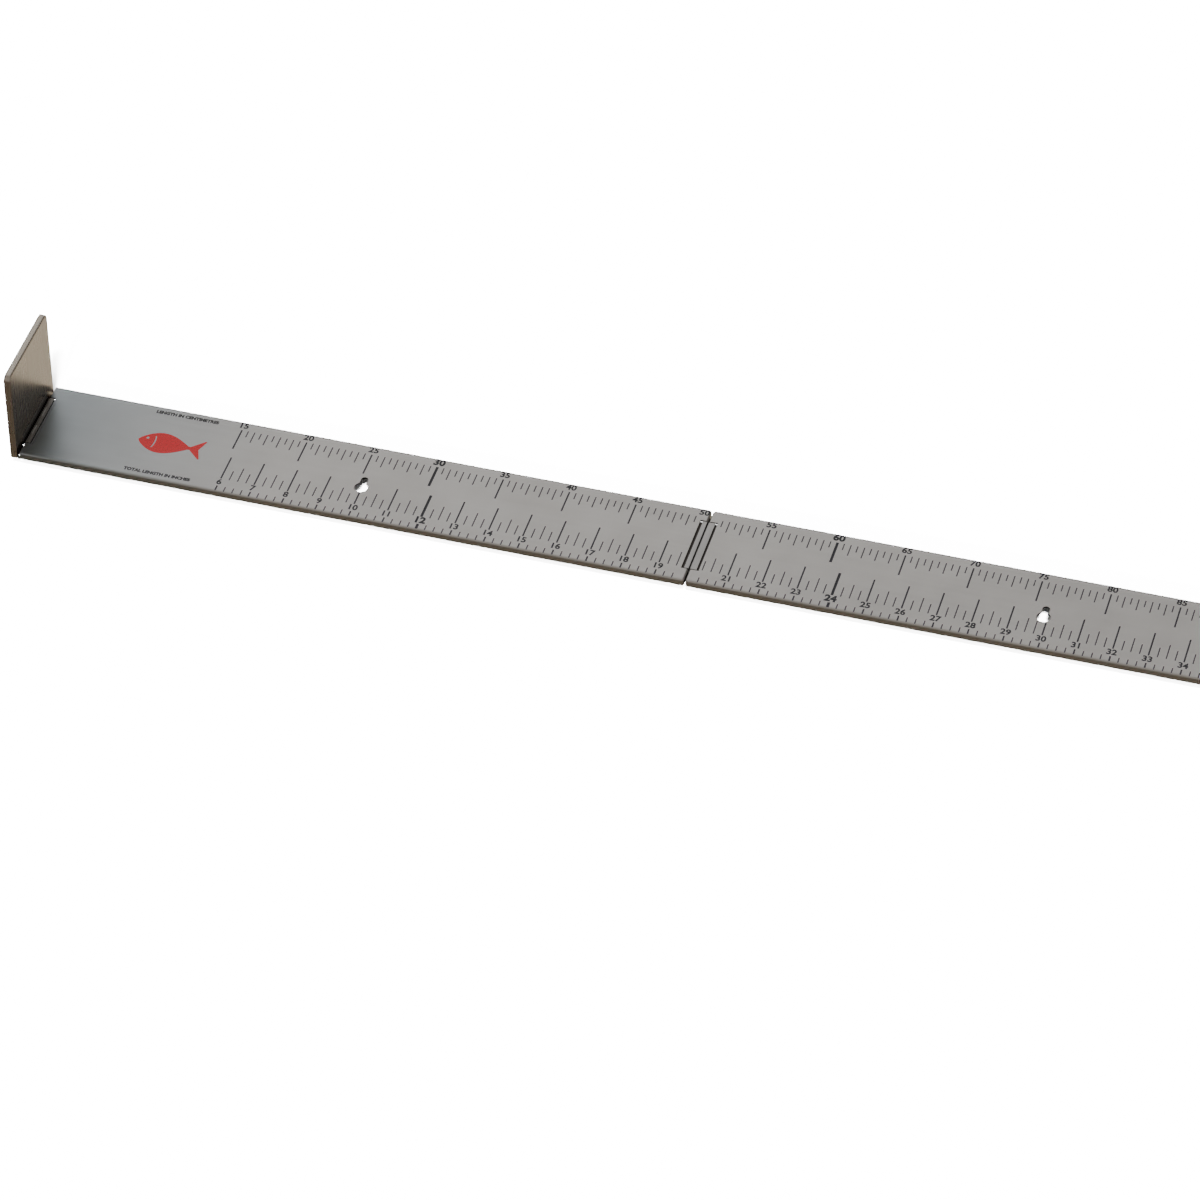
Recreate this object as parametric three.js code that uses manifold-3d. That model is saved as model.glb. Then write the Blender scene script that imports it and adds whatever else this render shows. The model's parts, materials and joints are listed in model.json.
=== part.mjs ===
// A folding steel measuring ruler: three shallow pans of sheet steel joined end to end by hinges,
// with an upright stop hinged at the zero end. X runs along the scale, Y across it, Z up.
// While it is built, x = 0 is the zero of the scale (the stop's inner face) and z = 0 is the
// printed face. The finished group is then moved so that its origin is the middle of its base.
import * as THREE from "three";
import { mergeVertices } from "three/addons/utils/BufferGeometryUtils.js";
import Module from "manifold-3d";

const wasm = await Module();
wasm.setup();

// ---- Driving dimensions, in millimetres ----
const width = 78; // across the sections and the stop
const firstJoint = 505; // from zero to the joint near 20 in
const middleLength = 508; // from the first joint to the second
const lastLength = 511; // from the second joint to the free end
const rimDepth = 5.4; // printed face to the lower edge of a section's rims
const sheet = 1.2; // thickness of the pressed sheet
const bendRadius = 1.4; // outside radius where a rim is turned down
const cornerRadius = 5; // the stop's top corners and the free end's corners
const stopHeight = 70.5; // printed face to the top of the stop
const stopDepth = 5.1; // the stop's inner face to the edge of its rims
const endGap = 1.0; // between the ends of two sections in line
const jointCornerRadius = 2; // corners of the pans' ends at a joint, seen from above

const notchWidth = 53; // hinge notch, across the ruler
const notchReach = 6.2; // hinge notch, from the joint into a section
const stripGap = 0.8; // open line between a leaf's flush strip and the notch
const midNotchReach = [5.9, 7.1]; // at the first joint, into the first and the second section,
const midStripGap = [2.0, 1.7]; // and the open lines there, which are wider
const stripSink = 0.1; // the strips lie this far below the face around them
const leafThickness = 1.0;
const leafReach = 24; // from the joint to the end of a leaf, under the sheet
const middleGap = 1.3; // open line between the two flush strips of the first joint
const webDrop = 1.2; // how far the webs of the first joint stop above the pin's centre

const pinRadius = 1.0;
const pinClearance = 0.1; // pin in its knuckles, on radius
const knuckles = 5; // on each hinge, both leaves together
const turnClearance = 0.3; // between pieces that turn past each other
const seatGap = 0.2; // between pieces that seat on each other
const foldClearance = 0.2; // first joint's pivot below the rims
const topPivotRise = 0.3; // last joint's pivot above the printed face
const stopPivotSink = 0.2; // top of the stop's knuckles below the printed face
const stopFoldGap = 0.4; // folded stop to the printed face
const endSetback = 0.6; // the stop's pivot beyond the first section's end
const noseHeight = 2.0; // bearing noses that hold the stop upright

const studRadius = 1.5;
const studHeadRadius = 2.8;
const studHeadHeight = 0.9;
const studInset = 9; // from the end of a leaf
const studPitch = 18; // across the ruler
const pinHeadRadius = 1.6;
const pinHeadHeight = 0.4;

const keyholeRadius = 5; // the entry that a screw head passes
const keyholeSlot = 5.2; // width of the slot that holds its shank
const keyholeTravel = 8.8; // between the two centres
const keyholeEntryY = -6.7; // centre of the entry, from the ruler's middle line

// ---- Fits worked out from the driving dimensions ----
const knuckleRadius = pinRadius + pinClearance + leafThickness;
const secondJoint = firstJoint + middleLength;
const freeEnd = secondJoint + lastLength;
const underSheet = sheet + seatGap; // depth of a leaf's plate below the face
const stripEnd = notchReach - stripGap;
const midStripEnd = midNotchReach.map((reach, i) => reach - midStripGap[i]);
const hingeWidth = notchWidth - 2 * (pinHeadHeight + 2 * seatGap);
const midPivot = new THREE.Vector2(firstJoint, -rimDepth - foldClearance);
const endPivot = new THREE.Vector2(secondJoint, topPivotRise);
const stopPivotDepth = knuckleRadius + stopPivotSink;
const stopPivot = new THREE.Vector2(stopPivotDepth + stopFoldGap, -stopPivotDepth);
const firstStart = stopPivot.x - endSetback;
const overrun = 20; // how far cutting tools run past what they cut
const studSides = 14; // facets round a stud and its hole

// ---- Materials ----
const sheetSteel = new THREE.MeshStandardMaterial({ color: 0x9a9896, roughness: 0.36, metalness: 1 });
const leafSteel = new THREE.MeshStandardMaterial({ color: 0x8f8e8c, roughness: 0.42, metalness: 1 });
const pinSteel = new THREE.MeshStandardMaterial({ color: 0xa8a7a5, roughness: 0.3, metalness: 1 });
const studSteel = new THREE.MeshStandardMaterial({ color: 0x8a8987, roughness: 0.45, metalness: 1 });

// ---- Solids ----
function toSolid(geometry) {
  const bare = geometry.clone();
  bare.deleteAttribute("normal");
  bare.deleteAttribute("uv");
  const merged = mergeVertices(bare, 1e-4);
  return new wasm.Manifold(
    new wasm.Mesh({
      numProp: 3,
      vertProperties: new Float32Array(merged.attributes.position.array),
      triVerts: new Uint32Array(merged.index.array),
    }),
  );
}

function toGeometry(solid) {
  const mesh = solid.getMesh();
  const geometry = new THREE.BufferGeometry();
  geometry.setAttribute("position", new THREE.BufferAttribute(mesh.vertProperties, 3));
  geometry.setIndex(new THREE.BufferAttribute(mesh.triVerts, 1));
  const faceted = geometry.toNonIndexed();
  faceted.computeVertexNormals();
  return faceted;
}

function box(low, high) {
  const size = new THREE.Vector3().subVectors(high, low);
  const middle = new THREE.Vector3().addVectors(low, high).multiplyScalar(0.5);
  return toSolid(new THREE.BoxGeometry(size.x, size.y, size.z).translate(middle.x, middle.y, middle.z));
}

// A round bar along Y about the point (x, z).
function barAlongY(x, z, radius, yLow, yHigh, sides = 24) {
  const bar = new THREE.CylinderGeometry(radius, radius, yHigh - yLow, sides);
  return toSolid(bar.translate(x, (yLow + yHigh) / 2, z));
}

// An outline drawn in X and Z, as thick as the span from yLow to yHigh.
function profileAlongY(points, yLow, yHigh) {
  const outline = new THREE.Shape(points.map(([x, z]) => new THREE.Vector2(x, z)));
  const geometry = new THREE.ExtrudeGeometry(outline, { depth: yHigh - yLow, bevelEnabled: false });
  geometry.rotateX(Math.PI / 2); // the outline's Y becomes Z and its depth runs towards -Y
  return toSolid(geometry.translate(0, yHigh, 0));
}

// ---- Pans: sheet pressed into a tray, open side down ----
function roundedOutline(xLow, xHigh, halfWidth, low, high) {
  const outline = new THREE.Shape();
  outline.moveTo(xLow + low, -halfWidth);
  outline.lineTo(xHigh - high, -halfWidth);
  outline.absarc(xHigh - high, -halfWidth + high, high, -Math.PI / 2, 0);
  outline.lineTo(xHigh, halfWidth - high);
  outline.absarc(xHigh - high, halfWidth - high, high, 0, Math.PI / 2);
  outline.lineTo(xLow + low, halfWidth);
  outline.absarc(xLow + low, halfWidth - low, low, Math.PI / 2, Math.PI);
  outline.lineTo(xLow, -halfWidth + low);
  outline.absarc(xLow + low, -halfWidth + low, low, Math.PI, 1.5 * Math.PI);
  return outline;
}

// A pan from x = start to x = end. Its rims run along both sides. An end that is given a corner
// radius has a rim across it too, and an end without one is open.
function pan({ start, end, depth, startRadius, endRadius }) {
  const low = startRadius ?? cornerRadius;
  const high = endRadius ?? cornerRadius;
  const nearX = startRadius ? start : start - overrun;
  const farX = endRadius ? end : end + overrun;
  const outer = roundedOutline(nearX, farX, width / 2, low, high);
  const shell = new THREE.ExtrudeGeometry(outer, {
    depth: depth + overrun,
    bevelThickness: bendRadius,
    bevelSize: bendRadius,
    bevelOffset: -bendRadius,
    bevelSegments: 4,
    curveSegments: 8,
  });
  shell.translate(0, 0, -depth - overrun - bendRadius);
  const hollowStart = startRadius ? start + sheet : start - 2 * overrun;
  const hollowEnd = endRadius ? end - sheet : end + 2 * overrun;
  const inner = roundedOutline(hollowStart, hollowEnd, width / 2 - sheet, low - sheet, high - sheet);
  const hollow = new THREE.ExtrudeGeometry(inner, {
    depth: depth + 2 * overrun,
    bevelEnabled: false,
    curveSegments: 8,
  });
  hollow.translate(0, 0, -depth - 2 * overrun - sheet);
  const blank = box(new THREE.Vector3(start, -width, -depth), new THREE.Vector3(end, width, overrun));
  return toSolid(shell).subtract(toSolid(hollow)).intersect(blank);
}

// The notch that clears a hinge's strips, from the joint's side of a pan inward.
function notch(xLow, xHigh) {
  return box(
    new THREE.Vector3(xLow, -notchWidth / 2, -overrun),
    new THREE.Vector3(xHigh, notchWidth / 2, overrun),
  );
}

function keyhole(x) {
  const slotHalf = keyholeSlot / 2;
  const meet = Math.asin(slotHalf / keyholeRadius); // where the slot's sides leave the entry
  const outline = new THREE.Shape();
  outline.absarc(x, keyholeEntryY, keyholeRadius, Math.PI / 2 + meet, Math.PI / 2 - meet + 2 * Math.PI);
  outline.absarc(x, keyholeEntryY + keyholeTravel, slotHalf, 0, Math.PI);
  const cutter = new THREE.ExtrudeGeometry(outline, {
    depth: 2 * overrun,
    bevelEnabled: false,
    curveSegments: 14,
  });
  return toSolid(cutter.translate(0, 0, -overrun));
}

function firstPan() {
  const end = firstJoint - endGap / 2;
  const body = pan({ start: firstStart, end, depth: rimDepth, endRadius: jointCornerRadius });
  const noseTop = -rimDepth + noseHeight;
  let noses = box(
    new THREE.Vector3(turnClearance, -width / 2, -rimDepth),
    new THREE.Vector3(firstStart + 1, width / 2, noseTop),
  );
  noses = noses.subtract(
    box(
      new THREE.Vector3(-overrun, -width / 2 + sheet, -overrun),
      new THREE.Vector3(overrun, width / 2 - sheet, overrun),
    ),
  );
  return body
    .add(noses)
    .subtract(notch(-overrun, notchReach))
    .subtract(notch(firstJoint - midNotchReach[0], firstJoint + overrun))
    .subtract(keyhole((firstStart + end) / 2));
}

function middlePan() {
  const start = firstJoint + endGap / 2;
  const end = secondJoint - endGap / 2;
  const startRadius = jointCornerRadius;
  const endRadius = jointCornerRadius;
  return pan({ start, end, depth: rimDepth, startRadius, endRadius })
    .subtract(notch(firstJoint - overrun, firstJoint + midNotchReach[1]))
    .subtract(notch(secondJoint - notchReach, secondJoint + overrun))
    .subtract(keyhole((start + end) / 2));
}

function lastPan() {
  const start = secondJoint + endGap / 2;
  const startRadius = jointCornerRadius;
  return pan({ start, end: freeEnd, depth: rimDepth, startRadius, endRadius: cornerRadius })
    .subtract(notch(secondJoint - overrun, secondJoint + notchReach))
    .subtract(keyhole((start + freeEnd) / 2));
}

// The stop is the same kind of pan stood on end: drawn lying down with x as its height.
function stopPan() {
  const lying = pan({ start: -rimDepth, end: stopHeight, depth: stopDepth, endRadius: cornerRadius });
  return lying.subtract(notch(-rimDepth - overrun, notchReach));
}

// ---- Hinges ----
// Each knuckle's span across the ruler; the first leaf has the even ones, the second the odd.
function knuckleSpans() {
  const pitch = hingeWidth / knuckles;
  return Array.from({ length: knuckles }, (_, i) => ({
    low: -hingeWidth / 2 + i * pitch + (i > 0 ? turnClearance / 2 : 0),
    high: -hingeWidth / 2 + (i + 1) * pitch - (i < knuckles - 1 ? turnClearance / 2 : 0),
    owner: i % 2,
  }));
}

// A leaf: its bent plate, its own knuckles, room for the other leaf's, the pin's bore, stud holes.
function leaf(points, pivot, owner, studHoles) {
  let solid = profileAlongY(points, -hingeWidth / 2, hingeWidth / 2);
  for (const span of knuckleSpans()) {
    if (span.owner === owner) {
      solid = solid.add(barAlongY(pivot.x, pivot.y, knuckleRadius, span.low, span.high));
    } else {
      const room = knuckleRadius + turnClearance;
      const { low, high } = span;
      solid = solid.subtract(barAlongY(pivot.x, pivot.y, room, low - turnClearance, high + turnClearance));
    }
  }
  solid = solid.subtract(barAlongY(pivot.x, pivot.y, pinRadius + pinClearance, -width, width));
  for (const hole of studHoles) {
    solid = solid.subtract(hole);
  }
  return solid;
}

// The plate behind the sheet and the strip that lies flush in the notch, as an outline of
// (distance from the joint, depth below the face). The strip runs from innerEnd to outerEnd.
function platePoints(innerEnd, outerEnd) {
  const plateTop = -underSheet;
  const stripTop = -stripSink;
  return {
    outer: [
      [innerEnd, stripTop],
      [outerEnd, stripTop],
      [outerEnd, plateTop],
      [leafReach, plateTop],
      [leafReach, plateTop - leafThickness],
      [outerEnd - leafThickness, plateTop - leafThickness],
      [outerEnd - leafThickness, stripTop - leafThickness],
    ],
    stripBottom: stripTop - leafThickness,
  };
}

const studRows = [-1, 0, 1].map((row) => row * studPitch);
const studReach = leafReach - studInset;
const studHoleRadius = studRadius + pinClearance;

// A stud, turned about the vertical: shank up through the leaf, peened head below it.
function studGeometry() {
  const headTop = -underSheet - leafThickness - seatGap;
  const headLow = headTop - studHeadHeight;
  const profile = new THREE.Path();
  profile.moveTo(0, headLow);
  profile.lineTo(studHeadRadius * 0.55, headLow);
  profile.quadraticCurveTo(studHeadRadius, headLow, studHeadRadius, headTop);
  profile.lineTo(studRadius, headTop);
  profile.lineTo(studRadius, -underSheet);
  profile.lineTo(0, -underSheet);
  const turned = new THREE.LatheGeometry(profile.getPoints(3), studSides);
  return turned.rotateX(Math.PI / 2); // the lathe's axis becomes Z
}

function studHole(x, y) {
  const hole = new THREE.CylinderGeometry(studHoleRadius, studHoleRadius, 2 * overrun, studSides);
  return toSolid(hole.rotateX(Math.PI / 2).translate(x, y, 0));
}

function flatLeaf({ x, side, pivot, owner, innerEnd, outerEnd = stripEnd, web }) {
  const { outer, stripBottom } = platePoints(innerEnd, outerEnd);
  const inner = web
    ? [
        [innerEnd + leafThickness, stripBottom],
        [innerEnd + leafThickness, pivot.y + webDrop],
        [innerEnd, pivot.y + webDrop],
      ]
    : [[innerEnd, stripBottom]];
  const points = [...outer, ...inner].map(([reach, z]) => [x + side * reach, z]);
  const holes = studRows.map((y) => studHole(x + side * studReach, y));
  return leaf(points, pivot, owner, holes);
}

// The stop's own leaf, behind its plate. Its points are (x, z), the flat leaf's turned on end.
function uprightLeaf() {
  const { outer, stripBottom } = platePoints(0, stripEnd);
  const turned = outer.slice(1).map(([reach, depth]) => [depth, reach]);
  const half = leafThickness / 2;
  const webEnd = stopPivot.x - pinRadius - pinClearance - half;
  const points = [
    [webEnd, stopPivot.y - half],
    [webEnd, stopPivot.y + half],
    [-stripSink, stopPivot.y + half],
    ...turned,
    [stripBottom, stopPivot.y - half],
  ];
  const holes = studRows.map((y) => {
    const hole = new THREE.CylinderGeometry(studHoleRadius, studHoleRadius, 2 * overrun, studSides);
    return toSolid(hole.rotateZ(Math.PI / 2).translate(0, y, studReach));
  });
  return leaf(points, stopPivot, 1, holes);
}

// A hinge pin with a peened head at each end.
function pinGeometry() {
  const half = hingeWidth / 2 + seatGap;
  const tip = half + pinHeadHeight;
  const profile = [
    [0, -tip],
    [pinHeadRadius * 0.6, -tip],
    [pinHeadRadius, -half - pinHeadHeight * 0.4],
    [pinHeadRadius, -half],
    [pinRadius, -half],
    [pinRadius, half],
    [pinHeadRadius, half],
    [pinHeadRadius, half + pinHeadHeight * 0.4],
    [pinHeadRadius * 0.6, tip],
    [0, tip],
  ];
  return new THREE.LatheGeometry(profile.map(([r, y]) => new THREE.Vector2(r, y)), 24);
}

// ---- The scene graph ----
const ruler = new THREE.Group();
const assembly = new THREE.Group();
ruler.add(assembly);

function addPiece(parent, name, geometry, material) {
  const mesh = new THREE.Mesh(geometry, material);
  mesh.name = name;
  parent.add(mesh);
  return mesh;
}

function addLeaf(name, solid) {
  addPiece(assembly, name, toGeometry(solid), leafSteel);
}

function addStuds(parent, name, x) {
  studRows.forEach((y, row) => {
    const stud = addPiece(parent, `${name}_stud_${row + 1}`, studGeometry(), studSteel);
    stud.position.set(x, y, 0);
  });
}

function addPin(name, pivot) {
  const pin = addPiece(assembly, name, pinGeometry(), pinSteel);
  pin.position.set(pivot.x, 0, pivot.y);
}

// The stop is drawn lying face up with x as its height, and this group stands it on end, so
// that x becomes Z and the face looks along +X.
const standing = new THREE.Group();
standing.rotation.set(Math.PI, Math.PI / 2, 0);
assembly.add(standing);

addPiece(standing, "stop_pan", toGeometry(stopPan()), sheetSteel);
addPiece(assembly, "section_1_pan", toGeometry(firstPan()), sheetSteel);
addPiece(assembly, "section_2_pan", toGeometry(middlePan()), sheetSteel);
addPiece(assembly, "section_3_pan", toGeometry(lastPan()), sheetSteel);

const midInner = middleGap / 2;
const atStop = { x: 0, pivot: stopPivot, innerEnd: stopPivot.x };
const atMiddle = { x: firstJoint, pivot: midPivot, innerEnd: midInner, web: true };
const atEnd = { x: secondJoint, pivot: endPivot, innerEnd: 0 };
const flatLeaves = [
  { name: "stop_leaf_section_1", side: 1, owner: 0, ...atStop },
  { name: "mid_leaf_section_1", side: -1, owner: 0, ...atMiddle, outerEnd: midStripEnd[0] },
  { name: "mid_leaf_section_2", side: 1, owner: 1, ...atMiddle, outerEnd: midStripEnd[1] },
  { name: "end_leaf_section_2", side: -1, owner: 0, ...atEnd },
  { name: "end_leaf_section_3", side: 1, owner: 1, ...atEnd },
];
for (const plan of flatLeaves) {
  addLeaf(plan.name, flatLeaf(plan));
  addStuds(assembly, plan.name, plan.x + plan.side * studReach);
}
addLeaf("stop_leaf_upright", uprightLeaf());
addStuds(standing, "stop_leaf_upright", studReach);
addPin("stop_pin", stopPivot);
addPin("mid_pin", midPivot);
addPin("end_pin", endPivot);

// The origin: the middle of the ruler's base, level with the knuckles that it rests on.
assembly.position.set(-(freeEnd - stopDepth) / 2, 0, knuckleRadius - midPivot.y);

export default ruler;
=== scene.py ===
# The looks of a folding stainless steel ruler: brushed sheet, printed scales, hinges and studs.
# Everything is in metres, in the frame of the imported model: X along the scale, Z up.
import json
import math

import bmesh
import bpy
from mathutils import Matrix, Vector


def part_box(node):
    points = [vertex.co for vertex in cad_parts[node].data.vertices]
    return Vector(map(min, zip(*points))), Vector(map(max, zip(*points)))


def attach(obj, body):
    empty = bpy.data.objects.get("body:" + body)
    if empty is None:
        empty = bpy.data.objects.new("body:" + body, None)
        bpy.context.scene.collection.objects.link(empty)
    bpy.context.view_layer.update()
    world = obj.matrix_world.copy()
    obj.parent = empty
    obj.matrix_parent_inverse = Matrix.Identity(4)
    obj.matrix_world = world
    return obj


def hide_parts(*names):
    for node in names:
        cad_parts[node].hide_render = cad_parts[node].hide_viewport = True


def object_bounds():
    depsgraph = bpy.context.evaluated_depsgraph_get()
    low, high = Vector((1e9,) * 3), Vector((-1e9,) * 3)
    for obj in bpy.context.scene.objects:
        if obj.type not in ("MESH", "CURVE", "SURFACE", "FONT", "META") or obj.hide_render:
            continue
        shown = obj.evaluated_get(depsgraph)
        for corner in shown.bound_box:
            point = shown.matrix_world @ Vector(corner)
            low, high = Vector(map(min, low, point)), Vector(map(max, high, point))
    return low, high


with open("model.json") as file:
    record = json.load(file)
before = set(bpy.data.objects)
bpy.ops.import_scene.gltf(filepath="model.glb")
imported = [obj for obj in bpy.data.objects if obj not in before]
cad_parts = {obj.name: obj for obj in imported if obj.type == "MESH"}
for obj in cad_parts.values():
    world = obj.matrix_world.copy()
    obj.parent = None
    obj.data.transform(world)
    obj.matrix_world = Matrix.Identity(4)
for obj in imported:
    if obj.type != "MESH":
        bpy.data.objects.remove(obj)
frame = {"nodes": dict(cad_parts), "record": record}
cad_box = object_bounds()

MM = 0.001
INCH = 25.4 * MM
CM = 10 * MM

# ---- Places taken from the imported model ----
ZERO_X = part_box("stop_pan")[1].x                      # inner face of the stop: zero of the scale
FACE_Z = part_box("section_1_pan")[1].z                 # the printed face
NEAR_Y, FAR_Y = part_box("section_1_pan")[0].y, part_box("section_1_pan")[1].y
RIM_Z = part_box("section_1_pan")[0].z                  # lower edge of the rims
JOINT_X = {j["name"]: j["pos_m"][0] for j in frame["record"]["behaviour"]["joints"]}
JOINT_Z = {j["name"]: j["pos_m"][2] for j in frame["record"]["behaviour"]["joints"]}
SECTIONS = ("section_1", "section_2", "section_3")
HALF_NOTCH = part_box("mid_leaf_section_1")[1].y + 0.8 * MM   # hinge notch, half its width across
NOTCH_REACH = 7.1 * MM                                # hinge notch, from the joint into a section
# Two sections folded under the first reach down to the turned-over rims of the last one. The
# floor lies just below that, so that it cuts through nothing at any joint's limit.
FLOOR_Z = 2 * JOINT_Z["mid_fold"] - (2 * JOINT_Z["end_fold"] - RIM_Z) - 0.2 * MM


# ---- Small helpers ----
def linear(hex_colour):
    """An sRGB hex colour as linear RGBA."""
    parts = [int(hex_colour[i:i + 2], 16) / 255 for i in (1, 3, 5)]
    return [c / 12.92 if c <= 0.04045 else ((c + 0.055) / 1.055) ** 2.4 for c in parts] + [1.0]


def add_node(tree, kind, links=None, **settings):
    """Adds a node; settings are its properties, or its inputs by name; links join its inputs."""
    node = tree.nodes.new(kind)
    for key, value in settings.items():
        if hasattr(node, key):
            setattr(node, key, value)
        else:
            node.inputs[key.replace("_", " ")].default_value = value
    for name, socket in (links or {}).items():
        tree.links.new(socket, node.inputs[name])
    return node


def new_piece(name, mesh):
    """An object at the origin, unturned and unscaled."""
    piece = bpy.data.objects.new(name, mesh)
    bpy.context.scene.collection.objects.link(piece)
    return piece


def baked(piece):
    """The piece with its modifiers applied to a plain mesh."""
    depsgraph = bpy.context.evaluated_depsgraph_get()
    mesh = bpy.data.meshes.new_from_object(
        piece.evaluated_get(depsgraph), preserve_all_data_layers=True, depsgraph=depsgraph,
    )
    piece.modifiers.clear()
    piece.data = mesh
    return piece


def baked_copy(holder):
    """A curve or text object as a plain mesh."""
    depsgraph = bpy.context.evaluated_depsgraph_get()
    return bpy.data.meshes.new_from_object(holder.evaluated_get(depsgraph), depsgraph=depsgraph)


# ---- Camera ----
def make_camera():
    """A long lens from the near side, above the ruler, turned a little towards the zero end."""
    azimuth, elevation, roll = (math.radians(angle) for angle in (16.284, 42.618, -0.283))
    distance, focal_length = 3.938, 166.88
    aim = Vector((ZERO_X + 0.4531, -0.0751, FACE_Z))
    sight = Vector((
        -math.sin(azimuth) * math.cos(elevation),
        math.cos(azimuth) * math.cos(elevation),
        -math.sin(elevation),
    ))
    right = sight.cross(Vector((0, 0, 1))).normalized()
    up = right.cross(sight)
    turned_right = right * math.cos(roll) + up * math.sin(roll)
    turned_up = up * math.cos(roll) - right * math.sin(roll)
    data = bpy.data.cameras.new("camera")
    data.sensor_width = 36
    data.lens = focal_length
    data.clip_end = 50
    camera = bpy.data.objects.new("camera", data)
    turn = Matrix((turned_right, turned_up, -sight)).transposed().to_4x4()
    camera.matrix_world = Matrix.Translation(aim - sight * distance) @ turn
    bpy.context.scene.collection.objects.link(camera)
    bpy.context.scene.camera = camera


make_camera()


# ---- Materials ----
ROUGH_SPREAD = 0.03        # how far a scratch's roughness is from the sheet's own
TONE_SPREAD = 0.03         # how far a rolled-in cloud's tone is from the sheet's own
SCRATCH_DEPTH = 0.03 * MM  # drawn deeper than a real scratch, which wouldn't show
INK_SPREAD = 0.2           # how uneven the ink's density is


def steel(name, colour, roughness, grain, gap_shade_at=None, stop_shade_at=None):
    """Stainless steel sheet, brushed one way along its faces: long fine scratches that blur what
    it mirrors, cloudy patches from the rolling, and faint smudges from handling.
    grain is the scale of the brushing per axis, in lines per metre. A strip is painted dark at
    the height given, just under the sheet: painted shade for the hollow seen through the open
    lines beside it. A sheet is painted a little bluer and darker near the given place along X:
    painted shade from the stop."""
    material = bpy.data.materials.new(name)
    material.use_nodes = True
    tree = material.node_tree
    tree.nodes.clear()
    place = add_node(tree, "ShaderNodeTexCoord").outputs["Object"]
    along = add_node(tree, "ShaderNodeMapping", {"Vector": place}, Scale=grain).outputs["Vector"]
    lines = add_node(tree, "ShaderNodeTexNoise", {"Vector": along}, Scale=1.0, Detail=3.0)
    clouds = add_node(tree, "ShaderNodeTexNoise", {"Vector": place}, Scale=11.0, Detail=2.0)
    smudges = add_node(tree, "ShaderNodeTexNoise", {"Vector": place}, Scale=38.0, Detail=4.0)
    rough_lines = add_node(
        tree, "ShaderNodeMapRange", {"Value": lines.outputs["Fac"]},
        From_Min=0.3, From_Max=0.7, To_Min=roughness - ROUGH_SPREAD, To_Max=roughness + ROUGH_SPREAD,
    )
    rough_smudges = add_node(
        tree, "ShaderNodeMapRange", {"Value": smudges.outputs["Fac"]},
        From_Min=0.35, From_Max=0.75, To_Min=0.0, To_Max=0.05,
    )
    rough = add_node(
        tree, "ShaderNodeMath",
        {0: rough_lines.outputs["Result"], 1: rough_smudges.outputs["Result"]}, operation="ADD",
    )
    ramp = add_node(tree, "ShaderNodeValToRGB", {"Fac": clouds.outputs["Fac"]})
    shades(ramp, colour, TONE_SPREAD)
    tint = ramp.outputs["Color"]
    parts = add_node(tree, "ShaderNodeSeparateXYZ", {"Vector": place}).outputs
    # Painted shade: the strip is darkened just under the sheet, in the hollow seen through the open
    # lines.
    if gap_shade_at:
        tint = stained(tree, tint, parts["Z"], gap_shade_at, 1.0 * MM, 1.2 * MM, "#45423e", 1.0)
    # Painted shade: the sheet is bluer and darker near the stop.
    if stop_shade_at:
        tint = stained(tree, tint, parts["X"], stop_shade_at, 20 * MM, 190 * MM, "#8f989d", 0.75)
    bump = add_node(
        tree, "ShaderNodeBump", {"Height": lines.outputs["Fac"]},
        Strength=0.05, Distance=SCRATCH_DEPTH,
    )
    surface = add_node(
        tree, "ShaderNodeBsdfPrincipled",
        {"Base Color": tint, "Roughness": rough.outputs[0], "Normal": bump.outputs["Normal"]},
        Metallic=1.0,
    )
    add_node(tree, "ShaderNodeOutputMaterial", {"Surface": surface.outputs["BSDF"]})
    return material


def stained(tree, tint, along, centre, full, none, colour, strength):
    """The tint with painted shade of another colour: whole out to the distance full from a centre
    on one axis, and gone at the distance none."""
    away = add_node(tree, "ShaderNodeMath", {0: along}, operation="SUBTRACT")
    away.inputs[1].default_value = centre
    distance = add_node(tree, "ShaderNodeMath", {0: away.outputs[0]}, operation="ABSOLUTE")
    amount = add_node(
        tree, "ShaderNodeMapRange", {"Value": distance.outputs[0]},
        From_Min=full, From_Max=none, To_Min=strength, To_Max=0.0,
    )
    mix = add_node(tree, "ShaderNodeMix", {"Factor": amount.outputs["Result"]}, data_type="RGBA")
    tree.links.new(tint, mix.inputs[6])
    mix.inputs[7].default_value = linear(colour)
    return mix.outputs[2]


def shades(ramp, colour, spread):
    """Sets a ramp to run from a little darker than a hex colour to a little lighter."""
    base = linear(colour)
    low, high = ramp.color_ramp.elements
    low.position, high.position = 0.3, 0.7
    low.color = [c * (1 - spread) for c in base[:3]] + [1.0]
    high.color = [min(1.0, c * (1 + spread)) for c in base[:3]] + [1.0]


def ink(name, colour, roughness=0.5):
    """Screen-printed epoxy ink: a thin, nearly even film, a little patchy in its density."""
    material = bpy.data.materials.new(name)
    material.use_nodes = True
    tree = material.node_tree
    tree.nodes.clear()
    place = add_node(tree, "ShaderNodeTexCoord").outputs["Object"]
    patches = add_node(tree, "ShaderNodeTexNoise", {"Vector": place}, Scale=900.0, Detail=2.0)
    ramp = add_node(tree, "ShaderNodeValToRGB", {"Fac": patches.outputs["Fac"]})
    shades(ramp, colour, INK_SPREAD)
    surface = add_node(
        tree, "ShaderNodeBsdfPrincipled", {"Base Color": ramp.outputs["Color"]},
        Roughness=roughness,
    )
    add_node(tree, "ShaderNodeOutputMaterial", {"Surface": surface.outputs["BSDF"]})
    return material


# Stainless sheet, belt-brushed along the ruler in scratches about 1 mm apart across it, as coarse
# as they need to be to show: an even satin grey that spreads what it mirrors across the grain.
# Near the zero end the sheet is painted bluer and darker: painted shade from the stop.
SHEET = steel("brushed stainless sheet", "#bdbab6", 0.34, (14, 1100, 1100), stop_shade_at=ZERO_X)
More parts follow.
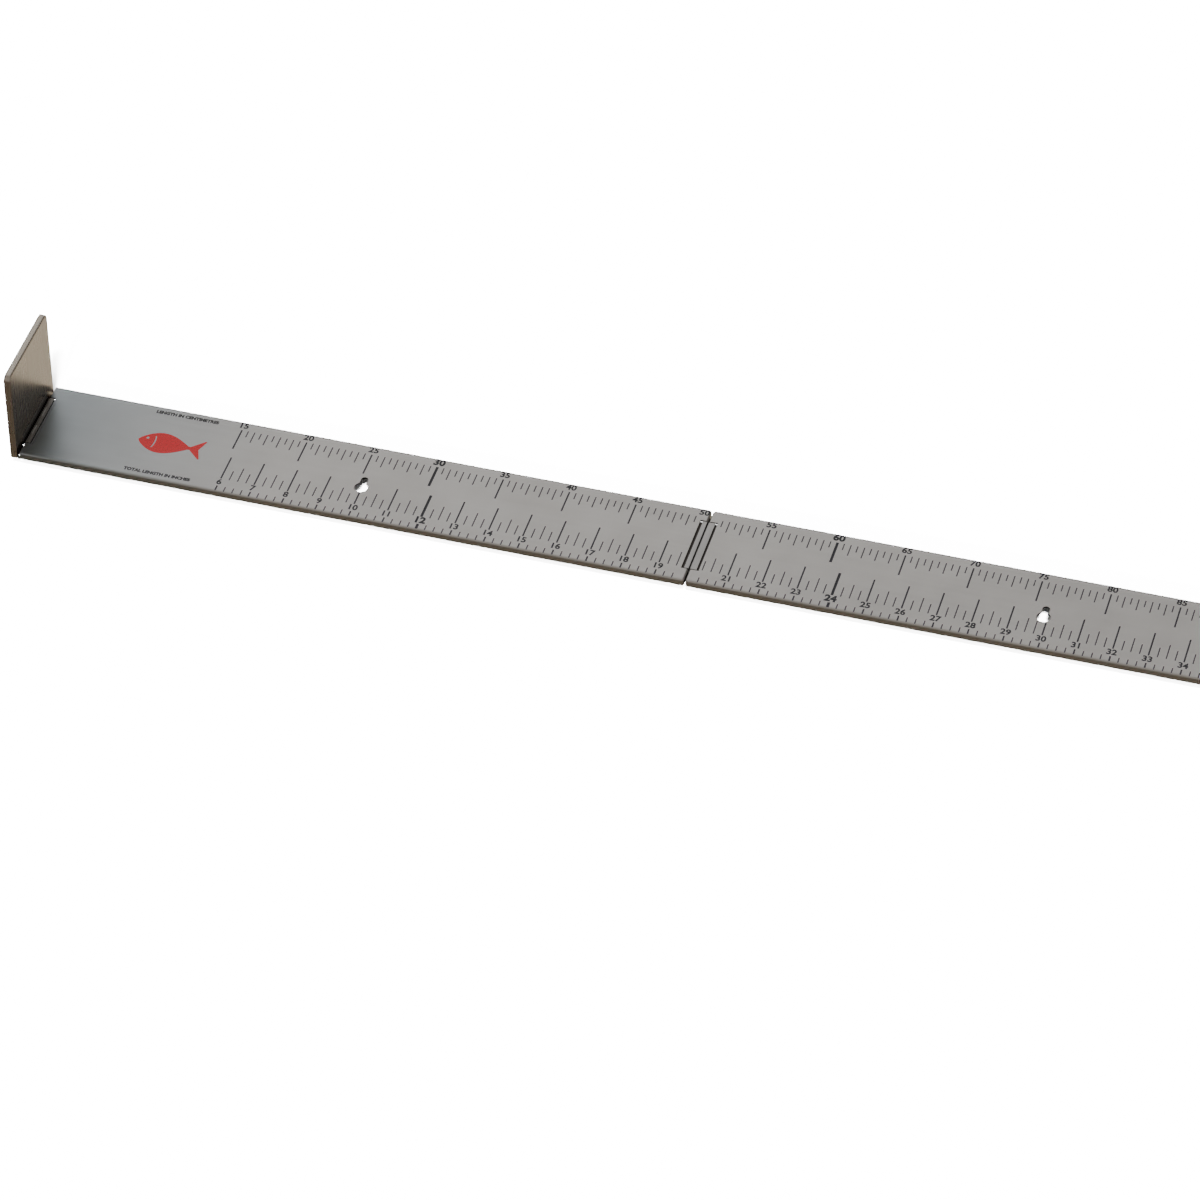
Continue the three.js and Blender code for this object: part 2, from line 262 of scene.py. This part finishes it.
# The same sheet brushed up and down the stop, a little glossier, so that the printed face is seen in it
#  as a soft dark band at its foot. It is painted warmer and darker than the face: painted shade on the
#  stop.
STOP_SHEET = steel("brushed stainless sheet, stop", "#b5ada0", 0.27, (900, 900, 14))
# Strip as it comes from the rolls, brushed across the ruler on top only: a matter grey. Just under the
# sheet
#  its plate is painted dark: painted shade for the hollow seen through the open lines beside it.
LEAF = steel("rolled stainless strip", "#b3b1ae", 0.36, (700, 30, 700), gap_shade_at=FACE_Z - 1.7 * MM)
# Wire drawn through a die, with fine marks along it: a tighter sheen, painted darker than the sheet as
# painted shade for the pin ends seen in the hinge gaps.
PIN = steel("drawn stainless wire", "#8a8783", 0.34, (900, 40, 900))
# Studs hammered over, with no grain in any one direction: dull and slightly mottled.
STUD = steel("peened stainless stud", "#9b9997", 0.42, (500, 500, 500))
# Epoxy ink screened on and baked: nearly black and duller than the steel around it.
BLACK_INK = ink("charcoal scale ink", "#1c1d22")
# The same ink in red, a little glossier: a flat, strong red.
RED_INK = ink("red pictogram ink", "#c4151c", 0.42)


# ---- Steel pieces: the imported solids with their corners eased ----
SHARP = math.radians(32)   # faces that meet at more than this make a corner


def eased(node, body, material, slot, radius, facets):
    """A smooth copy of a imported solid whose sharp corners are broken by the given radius."""
    piece = new_piece(node + "_finish", frame["nodes"][node].data.copy())
    mesh = piece.data
    solid = bmesh.new()
    solid.from_mesh(mesh)
    bmesh.ops.remove_doubles(solid, verts=solid.verts, dist=1e-6)
    bmesh.ops.dissolve_limit(
        solid, angle_limit=math.radians(0.5), verts=solid.verts, edges=solid.edges,
    )
    solid.to_mesh(mesh)
    solid.free()
    mesh.materials.clear()
    mesh.materials.append(material)
    if "custom_normal" in mesh.attributes:
        mesh.attributes.remove(mesh.attributes["custom_normal"])
    mesh.shade_smooth()
    mesh.set_sharp_from_angle(angle=SHARP)
    corners = piece.modifiers.new("corners", "BEVEL")
    corners.width = radius
    corners.segments = facets
    corners.limit_method = "ANGLE"
    corners.angle_limit = SHARP
    even = piece.modifiers.new("even", "WEIGHTED_NORMAL")
    even.keep_sharp = True
    baked(piece)
    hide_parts(node)
    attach(piece, body)


# The first part of a node's name that matches gives its material, slot, radius and facets.
FINISHES = (
    ("stop_pan", STOP_SHEET, "brushed_sheet", 0.15 * MM, 3),
    ("_pan", SHEET, "brushed_sheet", 0.15 * MM, 3),
    ("_stud_", STUD, "weld_stud", 0.08 * MM, 2),
    ("_pin", PIN, "hinge_pin", 0.06 * MM, 2),
    ("_leaf_", LEAF, "hinge_leaf", 0.08 * MM, 2),
)
for body, nodes in frame["record"]["behaviour"]["bodies"].items():
    for node in nodes:
        finish = next(row[1:] for row in FINISHES if row[0] in node)
        eased(node, body, *finish)


# ---- Printed scales: inches along the near edge, centimetres along the far edge ----
INK_BASE = FACE_Z - 0.01 * MM
INK_FILM = 0.04 * MM
FINE_LINE, BOLD_LINE = 0.78 * MM, 2.0 * MM
FIRST_INCH, LAST_INCH = 6, 60
FIRST_CM, LAST_CM = 15, 152
HINGE_X = (JOINT_X["mid_fold"], JOINT_X["end_fold"])
KEYHOLE_X = [
    (o["box_m"][0][0] + o["box_m"][1][0]) / 2
    for o in frame["record"]["physics"]["openings"] if o["name"].endswith("entry")
]


def line_tree():
    """Bars on points: each point of the mesh becomes one printed line, as long and as wide as
    the point's own values say, and all of them are as thick as the ink."""
    tree = bpy.data.node_groups.new("printed lines", "GeometryNodeTree")
    face = tree.interface
    face.new_socket("Geometry", in_out="INPUT", socket_type="NodeSocketGeometry")
    face.new_socket("Ink thickness", in_out="INPUT", socket_type="NodeSocketFloat")
    face.new_socket("Fine line", in_out="INPUT", socket_type="NodeSocketFloat")
    face.new_socket("Bold line", in_out="INPUT", socket_type="NodeSocketFloat")
    face.new_socket("Ink", in_out="INPUT", socket_type="NodeSocketMaterial")
    face.new_socket("Geometry", in_out="OUTPUT", socket_type="NodeSocketGeometry")
    given = add_node(tree, "NodeGroupInput").outputs
    length = add_node(tree, "GeometryNodeInputNamedAttribute", Name="length")
    weight = add_node(tree, "GeometryNodeInputNamedAttribute", Name="weight")
    width = add_node(tree, "ShaderNodeMapRange", {
        "Value": weight.outputs["Attribute"], "To Min": given["Fine line"], "To Max": given["Bold line"],
    })
    size = add_node(tree, "ShaderNodeCombineXYZ", {
        "X": width.outputs["Result"], "Y": length.outputs["Attribute"], "Z": given["Ink thickness"],
    })
    bar = add_node(tree, "GeometryNodeMeshCube", Size=(1, 1, 1))
    bars = add_node(tree, "GeometryNodeInstanceOnPoints", {
        "Points": given["Geometry"], "Instance": bar.outputs["Mesh"], "Scale": size.outputs["Vector"],
    })
    real = add_node(tree, "GeometryNodeRealizeInstances", {"Geometry": bars.outputs["Instances"]})
    inked = add_node(tree, "GeometryNodeSetMaterial", {
        "Geometry": real.outputs["Geometry"], "Material": given["Ink"],
    })
    add_node(tree, "NodeGroupOutput", {"Geometry": inked.outputs["Geometry"]})
    return tree


def set_input(modifier, name, value):
    """Sets a modifier's input by the identifier of the socket with that name."""
    socket = next(
        i for i in modifier.node_group.interface.items_tree
        if i.item_type == "SOCKET" and i.in_out == "INPUT" and i.name == name
    )
    modifier[socket.identifier] = value


def clear_of_hinges(x, y_low, y_high):
    """False where a line would fall in a hinge's notch or across the gap between sections."""
    reach = min(abs(x - hinge) for hinge in HINGE_X)
    in_notch = y_low < HALF_NOTCH and y_high > -HALF_NOTCH
    return reach > (NOTCH_REACH + 0.5 * MM if in_notch else 4 * MM)


def scale_lines(start, end):
    """(x, lower y, upper y, weight) of each printed line between two places along the rule.
    Weight 0 is a fine line and 1 a bold one, as at each foot and each 30 cm."""
    lines = []
    for quarter in range(FIRST_INCH * 4, LAST_INCH * 4):
        x = ZERO_X + quarter * INCH / 4
        top = (-1.3 if quarter % 4 == 0 else -10.5 if quarter % 2 == 0 else -15.2) * MM
        if min(abs(x - hole) for hole in KEYHOLE_X) < 5 * MM:
            top = -12.0 * MM  # the line stops short of the keyhole
        weight = 1.0 if quarter % 48 == 0 else 0.3 if quarter % 4 == 0 else 0.0
        lines.append((x, -25.2 * MM, top, weight))
        lines.append((x, NEAR_Y + 0.8 * MM, -33.2 * MM, weight))
    for half in range(FIRST_CM * 2, LAST_CM * 2 + 1):
        x = ZERO_X + half * CM / 2
        bottom = (8.2 if half % 10 == 0 else 18.1 if half % 2 == 0 else 23.0) * MM
        weight = 1.0 if half % 60 == 0 else 0.3 if half % 10 == 0 else 0.0
        lines.append((x, bottom, 29.7 * MM, weight))
        lines.append((x, 37.4 * MM, FAR_Y - 0.8 * MM, 0.0))
    return [
        line for line in lines
        if start + 1 * MM < line[0] < end - 1 * MM and clear_of_hinges(*line[:3])
    ]


def lines_mesh(name, lines, tree):
    """The printed lines of one section as a plain mesh, made by the tree of printed lines."""
    points = bpy.data.meshes.new(name)
    points.from_pydata([(x, (a + b) / 2, INK_BASE + INK_FILM / 2) for x, a, b, _ in lines], [], [])
    length = points.attributes.new("length", "FLOAT", "POINT")
    weight = points.attributes.new("weight", "FLOAT", "POINT")
    for i, (_, low, high, heavy) in enumerate(lines):
        length.data[i].value = high - low
        weight.data[i].value = heavy
    piece = new_piece(name, points)
    modifier = piece.modifiers.new("lines", "NODES")
    modifier.node_group = tree
    set_input(modifier, "Ink thickness", INK_FILM)
    set_input(modifier, "Fine line", FINE_LINE)
    set_input(modifier, "Bold line", BOLD_LINE)
    set_input(modifier, "Ink", BLACK_INK)
    return baked(piece)


CAPITALS = 0.73            # height of a capital in the font, as a share of its size


def lettering(words, height, place, weight):
    """Words as a closed mesh in the film of ink, centred on a place, capitals of that height,
    with their strokes swollen by the weight."""
    curve = bpy.data.curves.new("letters", "FONT")
    curve.body = words
    curve.align_x = "CENTER"
    curve.align_y = "CENTER"
    curve.size = height / CAPITALS
    curve.offset = weight
    curve.extrude = INK_FILM / 2
    curve.resolution_u = 3
    holder = new_piece("letters", curve)
    mesh = baked_copy(holder)
    mesh.transform(Matrix.Translation((*place, INK_BASE + INK_FILM / 2)))
    bpy.data.objects.remove(holder)
    return mesh


def scale_number(value, x, y, major):
    """A number of the scale; the major ones, at each foot and each 30 cm, are bigger and bolder."""
    height, weight = (6.4, 0.4) if major else (5.6, 0.24)
    return lettering(str(value), height * MM, (x, y), weight * MM)


def scale_numbers(start, end):
    """The numbers of one section as meshes: every inch, and every fifth centimetre."""
    meshes = []
    for inch in range(FIRST_INCH, LAST_INCH):
        x = ZERO_X + inch * INCH
        if start + 4 * MM < x < end and min(abs(x - h) for h in HINGE_X) > 4 * MM:
            meshes.append(scale_number(inch, x, -29.1 * MM, inch % 12 == 0))
    for cm in range(FIRST_CM, LAST_CM, 5):
        x = ZERO_X + cm * CM
        if start < x < end:
            meshes.append(scale_number(cm, x, 34.5 * MM, cm % 30 == 0))
    return meshes


def joined(name, meshes, material):
    """One mesh of several, its doubled corners merged."""
    whole = bmesh.new()
    for mesh in meshes:
        whole.from_mesh(mesh)
    bmesh.ops.remove_doubles(whole, verts=whole.verts, dist=1e-7)
    bmesh.ops.recalc_face_normals(whole, faces=whole.faces)
    mesh = bpy.data.meshes.new(name)
    whole.to_mesh(mesh)
    whole.free()
    for polygon in mesh.polygons:
        polygon.material_index = 0
    mesh.materials.append(material)
    return new_piece(name, mesh)


def fish_mark(length, height, centre):
    """A plain fish, nose to the stop: body and tail in one outline, with an eye and a gill."""
    curve = bpy.data.curves.new("fish", "CURVE")
    curve.dimensions = "2D"
    curve.fill_mode = "BOTH"
    curve.extrude = INK_FILM / 2
    curve.resolution_u = 1
    upper = []
    for i in range(25):
        u = i / 24
        body = 0.5 * math.sin(math.pi * min(1.0, u * 0.97 + 0.01) ** 0.85)
        upper.append((0.80 * u, max(0.075, body) if i else 0.0))
    outline = upper + [(0.98, 0.46), (1.0, 0.44), (0.93, 0.0)]
    outline += [(1.0, -0.44), (0.98, -0.46)] + [(x, -y) for x, y in reversed(upper[1:])]
    eye = [
        (0.13 + 0.022 * math.cos(a), 0.14 + 0.055 * math.sin(a))
        for a in (math.tau * i / 16 for i in range(16))
    ]
    arc = [(0.235 + 0.03 * math.cos(a), 0.30 * math.sin(a)) for a in
           (math.radians(-75 + 150 * i / 12) for i in range(13))]
    gill = arc + [(x - 0.018, y) for x, y in reversed(arc)]
    for loop in (outline, eye, gill):
        spline = curve.splines.new("POLY")
        spline.points.add(len(loop) - 1)
        for point, (x, y) in zip(spline.points, loop):
            point.co = ((x - 0.5) * length, y * height, 0, 1)
        spline.use_cyclic_u = True
    holder = new_piece("fish", curve)
    mesh = baked_copy(holder)
    mesh.transform(Matrix.Translation((*centre, INK_BASE + INK_FILM / 2)))
    bpy.data.objects.remove(holder)
    return mesh


WORDS = (("LENGTH IN CENTIMETRES", 107, 32.5), ("TOTAL LENGTH IN INCHES", 106, -33.2))
tree = line_tree()
for section in SECTIONS:
    low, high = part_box(section + "_pan")
    lines = lines_mesh(section + "_lines", scale_lines(low.x, high.x), tree)
    meshes = [lines.data] + scale_numbers(low.x, high.x)
    if section == "section_1":
        for words, x, y in WORDS:
            meshes.append(lettering(words, 3.0 * MM, (ZERO_X + x * MM, y * MM), 0.24 * MM))
    bpy.data.objects.remove(lines)
    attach(joined(section + "_scales", meshes, BLACK_INK), section)
fish = fish_mark(50 * MM, 22 * MM, (ZERO_X + 105 * MM, 0))
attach(joined("section_1_fish", [fish], RED_INK), "section_1")


# ---- Stage: pale floor and soft studio light ----
def make_floor():
    """A pale paper floor. The steel doesn't mirror it, only the room."""
    bpy.ops.mesh.primitive_plane_add(size=30, location=(0, 0, FLOOR_Z))
    floor = bpy.context.object
    floor.name = "floor"
    floor.visible_glossy = False
    paper = bpy.data.materials.new("pale paper")
    paper.use_nodes = True
    shader = paper.node_tree.nodes["Principled BSDF"]
    shader.inputs["Base Color"].default_value = linear("#f4f4f4")
    shader.inputs["Roughness"].default_value = 0.9
    floor.data.materials.append(paper)
    return floor


def make_dark_card():
    """A black card under the ruler that only the steel's underside mirrors: painted shade, so the hollow
    below the sheet stays as dark as it is under a real tray."""
    low, high = cad_box
    bpy.ops.mesh.primitive_plane_add(size=1, location=((low.x + high.x) / 2, 0, 0.1 * MM))
    card = bpy.context.object
    card.name = "dark_card"
    card.scale = (high.x - low.x, high.y - low.y - 2 * MM, 1)
    card.visible_camera = card.visible_diffuse = False
    card.visible_shadow = card.visible_transmission = False
    black = bpy.data.materials.new("black card")
    black.use_nodes = True
    black.node_tree.nodes["Principled BSDF"].inputs["Base Color"].default_value = linear("#141312")
    card.data.materials.append(black)


def make_room():
    """The soft room that the steel mirrors: a bright panel far left, a dimmer ceiling, a pale
    warm far side and a darker warm near side."""
    world = bpy.data.worlds.new("studio")
    bpy.context.scene.world = world
    world.use_nodes = True
    tree = world.node_tree
    tree.nodes.clear()
    sight = add_node(tree, "ShaderNodeTexCoord").outputs["Generated"]
    height = add_node(tree, "ShaderNodeSeparateXYZ", {"Vector": sight}).outputs

    def blend(factor, first, second):
        mix = add_node(tree, "ShaderNodeMix", {"Factor": factor}, data_type="RGBA")
        for socket, value in ((mix.inputs[6], first), (mix.inputs[7], second)):
            if isinstance(value, str):
                socket.default_value = linear(value)
            else:
                tree.links.new(value, socket)
        return mix.outputs[2]

    def ranged(value, low, high):
        return add_node(
            tree, "ShaderNodeMapRange", {"Value": value}, interpolation_type="SMOOTHSTEP",
            From_Min=low, From_Max=high,
        ).outputs["Result"]

    below = blend(ranged(height["Y"], -0.3, 0.5), "#756c5f", "#e6dccb")
    above = blend(ranged(height["Y"], -0.5, 0.5), "#bebbb6", "#6f6d6a")
    toward = add_node(tree, "ShaderNodeVectorMath", {0: sight}, operation="DOT_PRODUCT")
    toward.inputs[1].default_value = Vector((-0.45, 0.6, 0.66)).normalized()
    panel = blend(ranged(toward.outputs["Value"], 0.78, 0.96), above, "#ffffff")
    room = blend(ranged(height["Z"], -0.08, 0.12), below, panel)
    back = add_node(tree, "ShaderNodeBackground", {"Color": room}, Strength=1.0)
    add_node(tree, "ShaderNodeOutputWorld", {"Surface": back.outputs["Background"]})


def soft_light(name, location, aim, size, power):
    """A broad panel that lights the floor and the ink and isn't mirrored in the steel."""
    data = bpy.data.lights.new(name, "AREA")
    data.shape = "RECTANGLE"
    data.size, data.size_y = size
    data.energy = power
    light = bpy.data.objects.new(name, data)
    light.location = location
    light.rotation_euler = (Vector(aim) - Vector(location)).to_track_quat("-Z", "Y").to_euler()
    light.visible_glossy = False
    bpy.context.scene.collection.objects.link(light)


def floor_light(name, floor_only, direction, spread, strength):
    """A broad sun that lights only the floor, so the paper is white and the steel isn't washed."""
    data = bpy.data.lights.new(name, "SUN")
    data.angle = math.radians(spread)
    data.energy = strength
    light = bpy.data.objects.new(name, data)
    light.rotation_euler = Vector(direction).to_track_quat("-Z", "Y").to_euler()
    light.visible_glossy = False
    light.light_linking.receiver_collection = floor_only
    bpy.context.scene.collection.objects.link(light)


floor = make_floor()
floor_only = bpy.data.collections.new("floor_only")
floor_only.objects.link(floor)
make_dark_card()
make_room()
# A wash with hardly a shadow, a key that shines through the keyholes, and a low light that reaches
# the floor just under the near edge.
floor_light("floor_wash", floor_only, (0, 0, -1), 110, 5)
floor_light("floor_key", floor_only, (-0.22, 0.74, -1), 6, 60)
floor_light("floor_low", floor_only, (-0.2, 2.3, -1), 6, 70)
soft_light("overhead", (-0.2, -0.5, 3.2), (-0.2, -0.1, 0), (4.0, 3.0), 60)
